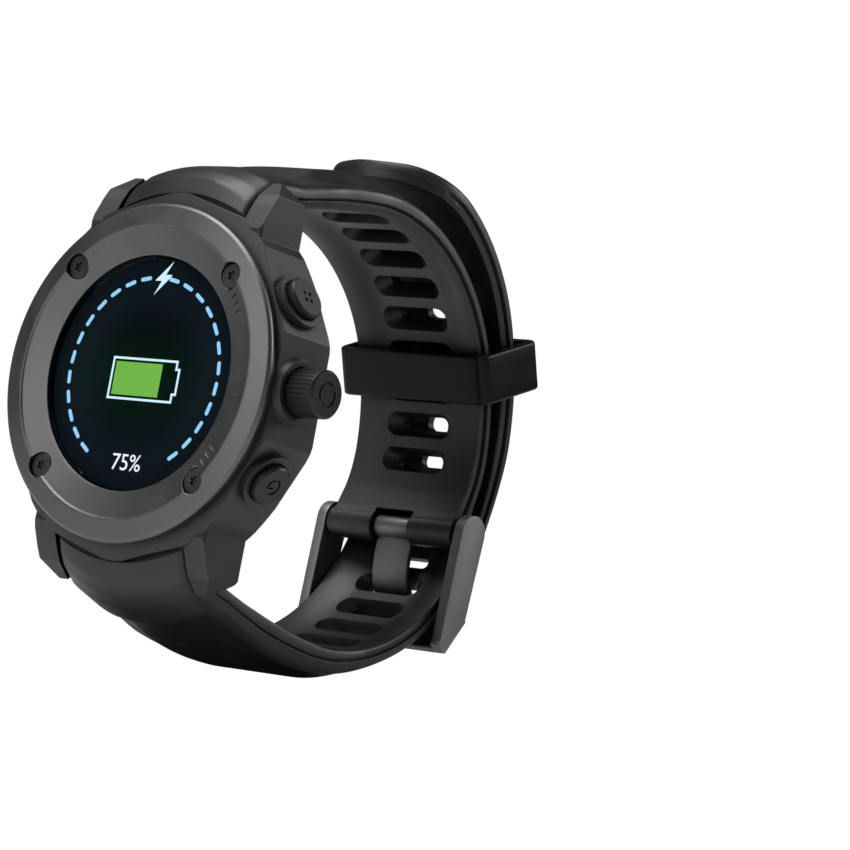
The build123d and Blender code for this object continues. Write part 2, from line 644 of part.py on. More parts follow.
# ---------------------------------------------------------------- write every piece
save(bezel_ring(), "bezel_ring")
save(bezel_screws(), "bezel_screws")
save(cover_glass(), "cover_glass")
save(ring(16.5, 15.2, GLASS_BACK_Y, SHELF_Y), "glass_seal")
save(disc(14.8, GLASS_BACK_Y, -9.7), "display_panel")
save(display_frame(), "display_frame")
save(slab((-2.8, 2.8), (-9.6, -8.1), (-14.7, -14.5)), "display_cable")
save(mid_case(), "mid_case")
save(main_board(), "main_board")
save(slab((-5.0, 4.0), (-8.5, -8.05), (-6.0, 5.0)), "processor_shield")
save(battery_cell(), "battery_cell")
save(gps_antenna(), "gps_antenna")
save(disc(3.9, -6.0, -3.3, -16.6, 0), "vibration_motor")
save(disc(10.5, -2.5, -1.8), "sensor_board")
save(sensor_parts(), "optical_sensors")
save(sensor_window(), "sensor_window")
save(case_back(), "case_back")
save(ring(21.75, 21.2, COVER_SEAT_Y, COVER_SEAT_Y + 0.45), "case_back_seal")
save(case_back_screws(), "case_back_screws")
save(group(disc(0.8, -2.6, 0.05, 2.8 * (n - 1.5), 13.5) for n in range(4)), "charging_contacts")
save(side_switches(), "side_switches")
save(switch_bracket(), "switch_bracket")

for title, angle in (("top", BUTTON_ANGLE), ("bottom", -BUTTON_ANGLE)):
    save(push_button(angle), title + "_button")
    save(outward(angle) * coil(1.85, 0.16, 23.22, 25.58, 4), title + "_button_spring")
    save(button_seal(angle, 1.32, 0.27), title + "_button_seal")
    save(retaining_clip(angle, 0.74, 1.8), title + "_button_clip")

save(crown_knob(), "crown_knob")
save(crown_sleeve(), "crown_sleeve")
save(outward(0) * coil(2.2, 0.18, 23.22, 26.28, 4), "crown_spring")
save(button_seal(0, 1.81, 0.27), "crown_seal")
save(retaining_clip(0, 1.24, 2.3), "crown_clip")
save(outward(0) * (spindle(1.2, 18.0, 18.6)), "encoder_magnet")

save(upper_strap(), "strap_upper")
save(lower_strap(), "strap_lower")
for name, end in (("upper", 1), ("lower", -1)):
    save(spring_bar_tube(end), name + "_bar_tube")
    save(spring_bar_spring(end), name + "_bar_spring")
    for hand, side in (("right", 1), ("left", -1)):
        save(spring_bar_tip(side, end), name + "_bar_tip_" + hand)

save(buckle_frame(), "buckle_frame")
save(bar(PIN_R, -ARM_OUT_X, ARM_OUT_X, PIN_Y, PIN_Z), "buckle_pin")
save(buckle_tongue(), "buckle_tongue")
save(strap_keeper(), "strap_keeper")
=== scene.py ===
"""Looks of the GPS running watch: materials, soft parts, display artwork, camera and studio."""

import math

import bmesh
import bpy
from mathutils import Matrix, Vector


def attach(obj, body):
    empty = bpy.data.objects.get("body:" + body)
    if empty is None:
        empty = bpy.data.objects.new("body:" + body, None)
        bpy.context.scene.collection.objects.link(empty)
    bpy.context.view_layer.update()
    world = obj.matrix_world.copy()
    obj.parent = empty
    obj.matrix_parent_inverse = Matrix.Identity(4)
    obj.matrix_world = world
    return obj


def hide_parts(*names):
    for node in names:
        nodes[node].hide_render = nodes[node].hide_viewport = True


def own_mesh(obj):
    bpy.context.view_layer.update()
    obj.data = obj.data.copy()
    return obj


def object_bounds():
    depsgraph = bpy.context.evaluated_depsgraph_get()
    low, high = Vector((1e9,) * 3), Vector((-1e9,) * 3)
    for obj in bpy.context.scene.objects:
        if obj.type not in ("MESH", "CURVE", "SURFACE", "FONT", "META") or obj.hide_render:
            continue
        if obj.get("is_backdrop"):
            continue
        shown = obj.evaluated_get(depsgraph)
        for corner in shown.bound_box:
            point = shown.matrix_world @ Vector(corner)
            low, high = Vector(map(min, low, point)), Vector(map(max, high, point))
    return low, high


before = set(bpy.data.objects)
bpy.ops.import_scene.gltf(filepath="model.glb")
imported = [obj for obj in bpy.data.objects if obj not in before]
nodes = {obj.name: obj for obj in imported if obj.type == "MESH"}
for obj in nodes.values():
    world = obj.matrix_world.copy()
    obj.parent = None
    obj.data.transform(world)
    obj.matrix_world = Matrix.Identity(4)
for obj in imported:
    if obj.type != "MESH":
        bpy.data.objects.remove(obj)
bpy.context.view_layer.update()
MM = 0.001
PER_METRE = 1000
# Reach in millimetres of the painted shade in crevices.
CREVICE_SHADE_REACH = 8


# ---------------------------------------------------------------- materials
def link(tree, a, a_out, b, b_in):
    tree.links.new(a.outputs[a_out], b.inputs[b_in])


def surface(name, colour, rough, metal=0.0, grain=5.0, grain_depth=0.010, mottle=0.12,
            edge=0.3, edge_radius=0.14, edge_colour=None, coat=0.0, specular=0.5, scuff=0.0, crevice_shade=0.75):
    """Procedural finish: fine grain in relief, slow mottling, painted highlights on edges and painted shade
    in crevices.
    """
    m = bpy.data.materials.new(name)
    m.use_nodes = True
    t = m.node_tree
    b = t.nodes["Principled BSDF"]
    place = t.nodes.new("ShaderNodeTexCoord")
    scale = t.nodes.new("ShaderNodeMapping")
    scale.inputs["Scale"].default_value = (PER_METRE,) * 3
    link(t, place, "Object", scale, "Vector")

    fine = t.nodes.new("ShaderNodeTexNoise")
    fine.inputs["Scale"].default_value = grain
    fine.inputs["Detail"].default_value = 4
    link(t, scale, "Vector", fine, "Vector")
    slow = t.nodes.new("ShaderNodeTexNoise")
    slow.inputs["Scale"].default_value = 0.16
    slow.inputs["Detail"].default_value = 3
    link(t, scale, "Vector", slow, "Vector")

    bevel = t.nodes.new("ShaderNodeBevel")
    bevel.samples = 4
    bevel.inputs["Radius"].default_value = edge_radius * MM
    bump = t.nodes.new("ShaderNodeBump")
    bump.inputs["Strength"].default_value = 1.0
    bump.inputs["Distance"].default_value = grain_depth * MM
    link(t, fine, "Fac", bump, "Height")
    link(t, bevel, "Normal", bump, "Normal")
    link(t, bump, "Normal", b, "Normal")

    # Painted highlight: where the bevelled normal turns away from the face normal, the colour is mixed
    # towards a lighter edge colour.
    flat = t.nodes.new("ShaderNodeNewGeometry")
    dot = t.nodes.new("ShaderNodeVectorMath")
    dot.operation = "DOT_PRODUCT"
    t.links.new(bevel.outputs["Normal"], dot.inputs[0])
    t.links.new(flat.outputs["Normal"], dot.inputs[1])
    edge_highlight = t.nodes.new("ShaderNodeMapRange")
    edge_highlight.inputs["From Min"].default_value = 0.995
    edge_highlight.inputs["From Max"].default_value = 0.90
    edge_highlight.inputs["To Max"].default_value = edge
    t.links.new(dot.outputs["Value"], edge_highlight.inputs["Value"])

    tone = t.nodes.new("ShaderNodeValToRGB")
    tone.color_ramp.elements[0].position = 0.3
    tone.color_ramp.elements[1].position = 0.7
    tone.color_ramp.elements[0].color = [c * (1 - mottle) for c in colour] + [1]
    tone.color_ramp.elements[1].color = [c * (1 + mottle) for c in colour] + [1]
    link(t, slow, "Fac", tone, "Fac")
    mix = t.nodes.new("ShaderNodeMix")
    mix.data_type = "RGBA"
    light = edge_colour or [min(1.0, c * 2.2 + 0.01) for c in colour]
    mix.inputs["B"].default_value = list(light) + [1]
    t.links.new(edge_highlight.outputs["Result"], mix.inputs["Factor"])
    t.links.new(tone.outputs["Color"], mix.inputs["A"])

    # Painted shade: ambient occlusion darkens the colour and the reflection in crevices and between parts.
    near = t.nodes.new("ShaderNodeAmbientOcclusion")
    near.samples = 4
    near.inputs["Distance"].default_value = CREVICE_SHADE_REACH * MM
    clear = t.nodes.new("ShaderNodeMapRange")
    clear.inputs["From Min"].default_value = 0.25
    clear.inputs["From Max"].default_value = 0.9
    clear.inputs["To Min"].default_value = 1 - crevice_shade
    link(t, near, "AO", clear, "Value")
    dimmed = t.nodes.new("ShaderNodeVectorMath")
    dimmed.operation = "SCALE"
    t.links.new(mix.outputs["Result"], dimmed.inputs[0])
    t.links.new(clear.outputs["Result"], dimmed.inputs["Scale"])
    t.links.new(dimmed.outputs[0], b.inputs["Base Color"])
    shine = t.nodes.new("ShaderNodeMath")
    shine.operation = "MULTIPLY"
    shine.inputs[1].default_value = specular
    t.links.new(clear.outputs["Result"], shine.inputs[0])
    t.links.new(shine.outputs[0], b.inputs["Specular IOR Level"])

    patchy = t.nodes.new("ShaderNodeMapRange")
    patchy.inputs["From Min"].default_value = 0.3
    patchy.inputs["From Max"].default_value = 0.7
    patchy.inputs["To Min"].default_value = rough * 0.92
    patchy.inputs["To Max"].default_value = min(1.0, rough * (1.1 + scuff))
    link(t, slow, "Fac", patchy, "Value")
    t.links.new(patchy.outputs["Result"], b.inputs["Roughness"])
    b.inputs["Metallic"].default_value = metal
    b.inputs["Coat Weight"].default_value = coat
    b.inputs["Coat Roughness"].default_value = 0.12
    return m


def glowing(name, colour, strength):
    """Lit display segment, slightly uneven over its area."""
    m = bpy.data.materials.new(name)
    m.use_nodes = True
    t = m.node_tree
    b = t.nodes["Principled BSDF"]
    b.inputs["Base Color"].default_value = (0.01, 0.01, 0.01, 1)
    b.inputs["Roughness"].default_value = 0.4
    place = t.nodes.new("ShaderNodeTexCoord")
    scale = t.nodes.new("ShaderNodeMapping")
    scale.inputs["Scale"].default_value = (PER_METRE,) * 3
    link(t, place, "Object", scale, "Vector")
    uneven = t.nodes.new("ShaderNodeTexNoise")
    uneven.inputs["Scale"].default_value = 7
    link(t, scale, "Vector", uneven, "Vector")
    level = t.nodes.new("ShaderNodeMapRange")
    level.inputs["To Min"].default_value = strength * 0.88
    level.inputs["To Max"].default_value = strength * 1.1
    link(t, uneven, "Fac", level, "Value")
    b.inputs["Emission Color"].default_value = (*colour, 1)
    t.links.new(level.outputs["Result"], b.inputs["Emission Strength"])
    return m


def clear_glass():
    """Flat cover glass: lets the display through and mirrors the studio faintly."""
    m = bpy.data.materials.new("display_glass")
    m.use_nodes = True
    t = m.node_tree
    t.nodes.remove(t.nodes["Principled BSDF"])
    out = t.nodes["Material Output"]
    clear = t.nodes.new("ShaderNodeBsdfTransparent")
    clear.inputs["Color"].default_value = (0.93, 0.94, 0.96, 1)
    gloss = t.nodes.new("ShaderNodeBsdfGlossy")
    place = t.nodes.new("ShaderNodeTexCoord")
    smear = t.nodes.new("ShaderNodeTexNoise")
    smear.inputs["Scale"].default_value = 90
    link(t, place, "Object", smear, "Vector")
    level = t.nodes.new("ShaderNodeMapRange")
    level.inputs["To Min"].default_value = 0.02
    level.inputs["To Max"].default_value = 0.08
    link(t, smear, "Fac", level, "Value")
    t.links.new(level.outputs["Result"], gloss.inputs["Roughness"])
    fresnel = t.nodes.new("ShaderNodeFresnel")
    fresnel.inputs["IOR"].default_value = 1.22
    mix = t.nodes.new("ShaderNodeMixShader")
    t.links.new(fresnel.outputs["Fac"], mix.inputs[0])
    t.links.new(clear.outputs["BSDF"], mix.inputs[1])
    t.links.new(gloss.outputs["BSDF"], mix.inputs[2])
    t.links.new(mix.outputs["Shader"], out.inputs["Surface"])
    return m


# Each finish below has its painted highlight on edges and its painted shade in crevices set by its arguments.
finish = {
    "bezel_metal": surface("bezel_metal", (0.105, 0.105, 0.107), 0.40, metal=0.88, grain=4.5,
                           grain_depth=0.016, mottle=0.05, edge=0.5, edge_radius=0.16,
                           edge_colour=(0.30, 0.30, 0.30)),
    "screw_steel": surface("screw_steel", (0.055, 0.055, 0.057), 0.36, metal=0.8, grain=8,
                           grain_depth=0.006, mottle=0.1, edge=0.5),
    "display_glass": clear_glass(),
    "seal_rubber": surface("seal_rubber", (0.015, 0.015, 0.015), 0.6, grain=6),
    "display_module": surface("display_module", (0.0035, 0.0038, 0.005), 0.3, grain=3, grain_depth=0.001,
                              edge=0.0, mottle=0.3, specular=0.3),
    "inner_plastic": surface("inner_plastic", (0.03, 0.03, 0.032), 0.5),
    "flex_film": surface("flex_film", (0.35, 0.16, 0.04), 0.35, grain=2, grain_depth=0.004),
    "case_plastic": surface("case_plastic", (0.013, 0.013, 0.0135), 0.44, grain=7, grain_depth=0.012,
                            edge=0.30, edge_radius=0.18, edge_colour=(0.045, 0.045, 0.045), crevice_shade=0.9),
    "circuit_board": surface("circuit_board", (0.01, 0.09, 0.04), 0.4, grain=1.4, grain_depth=0.006,
                             mottle=0.4),
    "shield_steel": surface("shield_steel", (0.5, 0.5, 0.5), 0.3, metal=1.0, grain=6, grain_depth=0.004),
    "battery_foil": surface("battery_foil", (0.45, 0.46, 0.48), 0.38, metal=0.9, grain=0.8, grain_depth=0.03),
    "antenna_ceramic": surface("antenna_ceramic", (0.55, 0.5, 0.4), 0.5, grain=5),
    "sensor_glass": surface("sensor_glass", (0.006, 0.007, 0.008), 0.08, grain=2, grain_depth=0.0005,
                            edge=0.1, coat=0.6),
    "back_plastic": surface("back_plastic", (0.016, 0.016, 0.017), 0.38, grain=7, grain_depth=0.008),
    "contact_gold": surface("contact_gold", (0.8, 0.55, 0.2), 0.25, metal=1.0, grain=6, grain_depth=0.003,
                            mottle=0.06),
    "control_plastic": surface("control_plastic", (0.009, 0.009, 0.0093), 0.38, grain=7,
                               grain_depth=0.008, edge=0.35, edge_radius=0.08,
                               edge_colour=(0.07, 0.07, 0.07), specular=0.3, crevice_shade=0.9),
    "spring_steel": surface("spring_steel", (0.45, 0.45, 0.46), 0.3, metal=1.0, grain=6, grain_depth=0.003),
    "strap_rubber": surface("strap_rubber", (0.0125, 0.0125, 0.013), 0.42, grain=9, grain_depth=0.007,
                            mottle=0.10, edge=0.12, edge_radius=0.20, scuff=0.12, crevice_shade=0.6,
                            specular=0.45),
    "keeper_rubber": surface("keeper_rubber", (0.003, 0.003, 0.0031), 0.34, grain=9, grain_depth=0.007,
                             edge=0.25, edge_radius=0.2, edge_colour=(0.05, 0.05, 0.05), specular=0.14),
    "buckle_metal": surface("buckle_metal", (0.175, 0.175, 0.178), 0.44, metal=0.65, grain=4.5,
                            grain_depth=0.014, mottle=0.05, edge=0.5, edge_radius=0.18,
                            edge_colour=(0.33, 0.33, 0.33)),
}

SLOTS = {
    "bezel_metal": ["bezel_ring"],
    "screw_steel": ["bezel_screws", "case_back_screws"],
    "display_glass": ["cover_glass"],
    "seal_rubber": ["glass_seal", "case_back_seal", "top_button_seal", "bottom_button_seal", "crown_seal"],
    "display_module": ["display_panel"],
    "inner_plastic": ["display_frame", "side_switches", "vibration_motor"],
    "flex_film": ["display_cable"],
    "case_plastic": ["mid_case"],
    "circuit_board": ["main_board", "sensor_board"],
    "shield_steel": ["processor_shield", "switch_bracket"],
    "battery_foil": ["battery_cell"],
    "antenna_ceramic": ["gps_antenna", "encoder_magnet"],
    "sensor_glass": ["sensor_window", "optical_sensors"],
    "back_plastic": ["case_back"],
    "contact_gold": ["charging_contacts"],
    "control_plastic": ["top_button", "bottom_button", "crown_knob"],
    "spring_steel": ["top_button_spring", "bottom_button_spring", "crown_spring", "crown_sleeve",
                     "crown_clip", "top_button_clip", "bottom_button_clip", "upper_bar_tube",
                     "lower_bar_tube", "upper_bar_spring", "lower_bar_spring", "upper_bar_tip_right",
                     "upper_bar_tip_left", "lower_bar_tip_right", "lower_bar_tip_left"],
    "strap_rubber": ["strap_upper", "strap_lower"],
    "keeper_rubber": ["strap_keeper"],
    "buckle_metal": ["buckle_frame", "buckle_pin", "buckle_tongue"],
}
painted = set()
for slot_name, members in SLOTS.items():
    for node in members:
        mesh = nodes[node].data
        mesh.materials.clear()
        mesh.materials.append(finish[slot_name])
        mesh.shade_smooth()
        painted.add(node)
unpainted = sorted(set(nodes) - painted)
if unpainted:
    raise RuntimeError("no finish for " + ", ".join(unpainted))


# ---------------------------------------------------------------- mesh helpers
def made(name, verts, faces, angle=32):
    """Mesh object from points in millimetres, with faces turned outward."""
    mesh = bpy.data.meshes.new(name)
    mesh.from_pydata([(x * MM, y * MM, z * MM) for x, y, z in verts], [], faces)
    work = bmesh.new()
    work.from_mesh(mesh)
    bmesh.ops.recalc_face_normals(work, faces=work.faces)
    work.to_mesh(mesh)
    work.free()
    obj = bpy.data.objects.new(name, mesh)
    bpy.context.scene.collection.objects.link(obj)
    mesh.shade_smooth()
    mesh.set_sharp_from_angle(angle=math.radians(angle))
    return obj


def loft(rings):
    """Points and faces of a closed skin over rings that all hold the same number of points."""
    count = len(rings[0])
    verts = [p for ring in rings for p in ring]
    faces = []
    for k in range(len(rings) - 1):
        for i in range(count):
            j = (i + 1) % count
            faces.append((k * count + i, k * count + j, (k + 1) * count + j, (k + 1) * count + i))
    faces.append(tuple(range(count)))
    faces.append(tuple((len(rings) - 1) * count + i for i in reversed(range(count))))
    return verts, faces


def rod(radius, low_x, high_x, y, z, count=48):
    """Ring pair of a round bar along X."""
    turns = [2 * math.pi * i / count for i in range(count)]
    return [[(x, y + radius * math.cos(a), z + radius * math.sin(a)) for a in turns] for x in (low_x, high_x)]


def drum(radius, front, back, count=160):
    """Ring pair of a disc about the watch's own axis."""
    return [[(radius * math.cos(2 * math.pi * i / count), y, radius * math.sin(2 * math.pi * i / count))
             for i in range(count)] for y in (front, back)]


def prism(outline, low_x, high_x):
    """Ring pair of a side outline carried across X."""
    return [[(x, y, z) for y, z in outline] for x in (low_x, high_x)]


def combined(name, ring_sets):
    """One object from several separate closed lofts."""
    verts, faces = [], []
    for rings in ring_sets:
        v, f = loft(rings)
        faces += [tuple(i + len(verts) for i in face) for face in f]
        verts += v
    return made(name, verts, faces)


def apply(obj, angle=32):
    """Bake the modifiers of obj into its mesh."""
    graph = bpy.context.evaluated_depsgraph_get()
    mesh = bpy.data.meshes.new_from_object(obj.evaluated_get(graph))
    obj.modifiers.clear()
    obj.data = mesh
    mesh.shade_smooth()
    mesh.set_sharp_from_angle(angle=math.radians(angle))
    return obj


def boolean(obj, tool, operation):
    mod = obj.modifiers.new("cut", "BOOLEAN")
    mod.operation = operation
    mod.solver = "EXACT"
    mod.object = tool
    apply(obj)
    bpy.data.objects.remove(tool)
    return obj


def put(obj, body, slot_name, *stands_for):
    """Give a new piece its finish, its body and the CAD nodes it stands for."""
    obj.data.materials.clear()
    obj.data.materials.append(finish[slot_name])
    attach(obj, body)
    if stands_for:
        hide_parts(*stands_for)
    return obj


def smooth(value):
    value = min(1.0, max(0.0, value))
    return value * value * (3 - 2 * value)


def mid(a, b, share):
    return tuple(p + (q - p) * share for p, q in zip(a, b))


# ---------------------------------------------------------------- return springs
def return_spring(control):
    """Coil in place of its CAD node, made from a copy of that node's mesh."""
    node, press = control + "_spring", control + "_press"
    coil = bpy.data.objects.new(node + "_coil", nodes[node].data.copy())
    bpy.context.scene.collection.objects.link(coil)
    put(coil, "watch", "spring_steel", node)
    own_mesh(coil)


for control in ("top_button", "bottom_button", "crown"):
    return_spring(control)


# ---------------------------------------------------------------- straps
class Curve:
    """Side view of one strap's wrist face."""
    STEP = 0.1

    def __init__(self, start, heading, stretches, out_side):
        self.out_side = out_side
        self.places = []
        (y, z), turn = start, heading
        for length, bend in stretches:
            for _ in range(round(length / self.STEP)):
                self.places.append((y, z, turn))
                middle = math.radians(turn + bend * self.STEP / 2)
                y += self.STEP * math.cos(middle)
                z += self.STEP * math.sin(middle)
                turn += bend * self.STEP
        self.places.append((y, z, turn))
        self.length = (len(self.places) - 1) * self.STEP

    def heading(self, s):
        return self.places[round(s / self.STEP)][2]

    def point(self, s, away=0.0):
        low = min(int(s / self.STEP), len(self.places) - 2)
        share = s / self.STEP - low
        y, z, turn = mid(self.places[low], self.places[low + 1], share)
        turn = math.radians(turn)
        return y - self.out_side * away * math.sin(turn), z + self.out_side * away * math.cos(turn)


UPPER = Curve((3.02, 27.45), 14.5, [(16, -0.39), (14, -1.87), (24, -2.09), (12, -1.58), (7, -3.0)], 1)
LOWER = Curve((2.56, -27.37), -17.2, [(20, 0.5), (40, 1.89), (34, 1.36), (33, 1.86)], -1)
LEAST_BOW = 0.15
STRAP_HALF = 12.0
END_HALF = 11.85
SLOT_PITCH = 5.42
TONGUE_SLOT = 53.1
PIN_Y, PIN_Z = 51.2, -10.5
BARREL_R = 2.45
BAR_Y, BAR_Z = -5.5, 25.3
BAR_HOLE_R = 0.95
PIN_HOLE_R = 0.8
CASE_WALL_R = 23.65
CASE_SKIRT_R = 26.2
PAST_STRAP = 20
UPPER_SLOT = 46.3
TIP_STEPS = 24


def from_pin(points):
    return [(PIN_Y + y, PIN_Z + z) for y, z in points]


def upper_hollow(s):
    return LEAST_BOW + 1.5 * smooth((66 - s) / 32) * min(1.0, 0.2 + s / 8)


def upper_edge(s):
    return 3.1 + 0.5 * smooth(s / 12) - 0.6 * smooth((s - 20) / 25)


def upper_middle(s):
    return 4.2 - 1.2 * smooth((s - 12) / 34)


def lower_hollow(s):
    return LEAST_BOW + 0.7 * smooth((120 - s) / 30) * min(1.0, 0.2 + s / 8)


def lower_edge(s):
    return 3.6 + 1.0 * smooth(s / 10) - 2.1 * smooth((s - 12) / 26) + 0.6 * smooth((s - 66) / 12)


def lower_middle(s):
    return 4.9 - 2.4 * smooth((s - 10) / 30) + 0.6 * smooth((s - 66) / 12)


def slot_places(curve, hollow, fixed, before, after):
    places = [fixed]
    for count, direction in ((before, -1), (after, 1)):
        s = fixed
        for _ in range(count):
            start = curve.point(s, hollow(s))
            while math.dist(start, curve.point(s, hollow(s))) < SLOT_PITCH:
                s += direction * Curve.STEP
            places.append(s)
    return sorted(places)


def section(inner_edge, inner_middle, outer_edge, outer_middle, half, past_tip=0.0, ridged=1.0, grooved=1.0):
    """Cross-section: arched wrist face, stepped rim with a fine groove, and outside a dome or a plateau."""
    thick = math.dist(inner_edge, outer_edge)
    corner = min(1.0, half * 0.3, thick * 0.36)
    columns = 44

    def rim(x):
        return STRAP_HALF - math.hypot(x * STRAP_HALF / half if past_tip == 0 else x, past_tip)

    def wrist(x):
        return mid(inner_edge, inner_middle, smooth((rim(x) - 1.0) / 6.0))

    def away(x):
        plateau = smooth((rim(x) - 2.5) / 2.6)
        dome = 1.0 - min(1.0, abs(x) / half) ** 2.4
        return mid(outer_edge, outer_middle, dome + (plateau - dome) * ridged)

    layer = max(half - 0.40, half * 0.9) if grooved else half - 0.12
    cut_in = 0.22 * grooved
    ring = []
    for i in range(columns + 1):
        x = layer * (2 * i / columns - 1) * 0.985
        ring.append((x, *wrist(x)))
    side = [(layer, 0.10), (layer, 0.36), (layer - cut_in, 0.40), (layer - cut_in, 0.44), (half, 0.48)]
    for x, share in side:
        ring.append((x, *mid(wrist(x), away(x), share)))
    top = []
    for turn in (0, 22.5, 45, 67.5, 90):
        x = half - corner + corner * math.cos(math.radians(turn))
        share = 1 - corner * (1 - math.sin(math.radians(turn))) / thick
        top.append((x, *mid(wrist(x), away(x), share)))
    ring += top
    flat = half - corner
    for i in range(1, columns):
        x = flat * (1 - 2 * i / columns)
        ring.append((x, *away(x)))
    ring += [(-x, y, z) for x, y, z in reversed(top)]
    for x, share in reversed(side):
        ring.append((-x, *mid(wrist(x), away(x), share)))
    return ring


def slot_tool(curve, s, hollow, middle, narrow=0.78):
    """Slot cutter whose mouth opens out at both faces of the strap."""
    y, z = curve.point(s, hollow(s))
    turn = math.radians(curve.heading(s))
    along = (math.cos(turn), math.sin(turn))
    away = (-curve.out_side * math.sin(turn), curve.out_side * math.cos(turn))
    rings = []
    depth = middle(s)
    wide_share = (1 + narrow) / 2
    levels = ((-0.4, 6.2, 2.0), (0.0, 6.0, 1.85), (depth * 0.6, 4.8 * wide_share, 1.72 * narrow),
              (depth, 4.7 * wide_share, 1.72 * narrow), (depth + 0.5, 5.1 * wide_share, 2.0 * narrow))
    for level, wide, high in levels:
        corner = high * 0.92
        ring = []
        for cx, cv, first in ((1, 1, 0), (-1, 1, 90), (-1, -1, 180), (1, -1, 270)):
            for step in range(7):
                a = math.radians(first + step * 15)
                u = cx * (wide - corner) + corner * math.cos(a)
                v = cv * (high - corner) + corner * math.sin(a)
                ring.append((u, y + v * along[0] + level * away[0], z + v * along[1] + level * away[1]))
        rings.append(ring)
    return rings


def root_sections(guides):
    """Sections of the strap end between the lugs; each guide is inner, outer edge and outer middle."""
    rings = []
    for k in range(len(guides) - 1):
        for i in range(5):
            share = i / 5
            inner, edge, middle = (mid(a, b, share) for a, b in zip(guides[k], guides[k + 1]))
            rings.append(section(inner, inner, edge, middle, END_HALF, ridged=0.0))
    return rings


def strap_sections(curve, hollow, edge, middle, last, step=0.8):
    rings = []
    count = round(last / step)
    for i in range(count + 1):
        s = last * i / count
        half = END_HALF + (STRAP_HALF - END_HALF) * smooth((s - 3) / 4)
        rings.append(section(curve.point(s), curve.point(s, hollow(s)), curve.point(s, edge(s)),
                             curve.point(s, hollow(s) + middle(s)), half, ridged=smooth(s / 11)))
    return rings


def end_tools(end):
    """Cutters for the case wall, the case skirt and the spring bar hole."""
    return [drum(CASE_WALL_R, -11.5, 0.5), drum(CASE_SKIRT_R, -12.5, -9.25),
            rod(BAR_HOLE_R, -PAST_STRAP, PAST_STRAP, BAR_Y, end * BAR_Z)]


def cut_each(obj, ring_sets):
    for number, rings in enumerate(ring_sets):
        boolean(obj, combined("tool_%d" % number, [rings]), "DIFFERENCE")


def upper_strap():
    first = (UPPER.point(0), UPPER.point(0, upper_edge(0)), UPPER.point(0, upper_hollow(0) + upper_middle(0)))
    guides = [((-1.7, 20.0), (-9.7, 20.0), (-9.75, 20.6)),
              ((-1.7, 22.2), (-9.7, 22.4), (-9.75, 26.2)),
              ((-1.7, 24.6), (-8.6, 25.1), (-8.9, 28.8)),
              ((-1.5, 26.3), (-7.5, 26.9), (-7.3, 30.0)),
              ((0.0, 26.7), (-5.1, 29.0), (-4.6, 31.4)),
              ((1.5, 27.1), (-1.6, 29.9), (-1.4, 32.2)),
              first]
    rings = root_sections(guides)
    rings += strap_sections(UPPER, upper_hollow, upper_edge, upper_middle, UPPER.length)
    tail = UPPER.length
    near, far = (PIN_Y - BARREL_R, PIN_Z), (PIN_Y + BARREL_R * 0.9, PIN_Z + 1.0)
    near_start = UPPER.point(tail, upper_hollow(tail))
    far_start = UPPER.point(tail, upper_hollow(tail) + upper_middle(tail))
    for share in (0.5, 1.0):
        inner, outer = mid(near_start, near, share), mid(far_start, far, share)
        rings.append(section(inner, inner, outer, outer, STRAP_HALF))
    body = combined("strap_upper_body", [rings])
    barrel = combined("barrel", [rod(BARREL_R, -STRAP_HALF + 0.15, STRAP_HALF - 0.15, PIN_Y, PIN_Z, 64)])
    boolean(body, barrel, "UNION")
    notch = from_pin([(-5, -4), (5, -4), (5, 0.4), (2.0, 0.6), (1.9, 2.2), (-5, 3.0)])
    pin_hole = rod(PIN_HOLE_R, -PAST_STRAP, PAST_STRAP, PIN_Y, PIN_Z)
    cut_each(body, [prism(notch, -3.6, 3.6), pin_hole] + end_tools(1))
    tools = [slot_tool(UPPER, s, upper_hollow, upper_middle)
             for s in slot_places(UPPER, upper_hollow, UPPER_SLOT, 4, 4)]
    boolean(body, combined("slots", tools), "DIFFERENCE")
    return put(body, "watch", "strap_rubber", "strap_upper")


def lower_strap():
    first = (LOWER.point(0), LOWER.point(0, lower_edge(0)), LOWER.point(0, lower_hollow(0) + lower_middle(0)))
    guides = [((-1.7, -20.0), (-9.7, -20.0), (-9.75, -20.6)),
              ((-1.7, -22.2), (-9.7, -22.4), (-9.75, -26.2)),
              ((-1.7, -24.6), (-8.6, -25.1), (-9.0, -28.9)),
              ((-1.5, -26.3), (-7.5, -26.9), (-7.4, -30.7)),
              ((0.0, -26.7), (-5.1, -29.0), (-5.0, -32.2)),
              ((1.3, -27.0), (-1.6, -30.2), (-1.6, -33.5)),
              first]
    rings = root_sections(guides)
    shoulder = LOWER.length - STRAP_HALF
    rings += strap_sections(LOWER, lower_hollow, lower_edge, lower_middle, shoulder)
    for i in range(1, TIP_STEPS + 1):
        past = STRAP_HALF * math.sin(math.radians(90 * i / TIP_STEPS)) * 0.997
        s = shoulder + past
        half = math.sqrt(STRAP_HALF ** 2 - past ** 2)
        rim_drop = 0.5 * smooth((past - 8.5) / 3.5)
        thin = lower_edge(s) - rim_drop
        rings.append(section(LOWER.point(s), LOWER.point(s, lower_hollow(s)), LOWER.point(s, thin),
                             LOWER.point(s, lower_hollow(s) + lower_middle(s)), half, past,
                             grooved=1 - smooth(past / 4)))
    body = combined("strap_lower_body", [rings])
    cut_each(body, end_tools(-1))
    narrow = {0: 0.85, 1: 0.5}
    tools = []
    for s in slot_places(LOWER, lower_hollow, TONGUE_SLOT, 4, 9):
        steps_from_tongue = round((s - TONGUE_SLOT) / SLOT_PITCH)
        tools.append(slot_tool(LOWER, s, lower_hollow, lower_middle, narrow.get(steps_from_tongue, 0.74)))
    boolean(body, combined("slots", tools), "DIFFERENCE")
    return put(body, "watch", "strap_rubber", "strap_lower")


upper_strap()
lower_strap()


